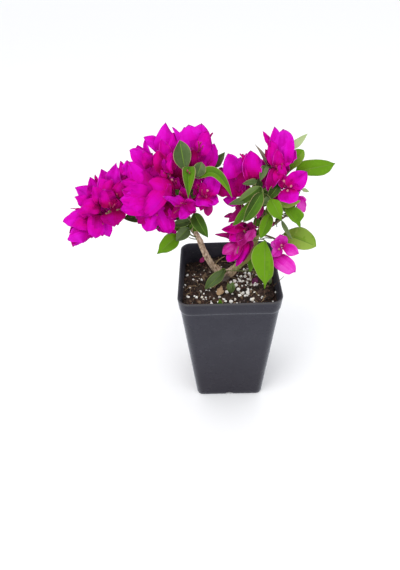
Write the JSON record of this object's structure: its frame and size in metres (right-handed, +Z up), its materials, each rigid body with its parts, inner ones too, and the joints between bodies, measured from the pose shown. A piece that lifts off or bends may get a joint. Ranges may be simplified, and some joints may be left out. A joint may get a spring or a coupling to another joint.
{
  "type": "potted bougainvillea bush",
  "caption": "Small flowering bougainvillea: two stems leaning apart from one stump, clusters of magenta bracts and green leaves, in a deep square tapered nursery pot.",
  "frame": {"origin": "centre of the pot's flat underside, on the surface that it stands on", "axes": "+Z up, +X to the right of the pot's front wall, -Y out of its front wall; the longer half of the crown arches out towards -X"},
  "size_m": [0.2587, 0.1078, 0.3238],
  "materials": {
    "pot": "satin",
    "potting_mix": "matte",
    "bark": "matte",
    "bract": "matte",
    "leaf": "satin"
  },
  "bodies": {
    "root": {"pot": "pot", "potting_mix": "potting_mix", "stump": "bark", "left_stem": "bark", "right_stem": "bark", "left_upper_bough": "bark", "left_arching_bough": "bark", "left_inner_bough": "bark", "right_upper_bough": "bark", "right_inner_bough": "bark", "right_side_bough": "bark", "right_low_bough": "bark", "far_left_tip": "bract", "far_left_top": "bract", "far_left_under": "bract", "far_left_back": "bract", "left_outer": "bract", "left_crest": "bract", "left_inner_crest": "bract", "left_core": "bract", "left_low": "bract", "left_front": "bract", "left_inner_leaves": "leaf", "left_low_leaves": "leaf", "left_back": "bract", "left_inner_back": "bract", "left_back_leaves": "leaf", "middle_bracts": "bract", "middle_small": "bract", "right_crest": "bract", "right_wing": "leaf", "right_wing_upright": "leaf", "right_flower": "bract", "right_core": "leaf", "right_leaves": "leaf", "right_side": "leaf", "low_bracts": "bract", "right_low": "bract", "drooping_leaves": "leaf", "right_heart": "leaf", "right_back": "bract", "right_back_leaves": "leaf", "middle_back": "leaf"}
  },
  "joints": []
}
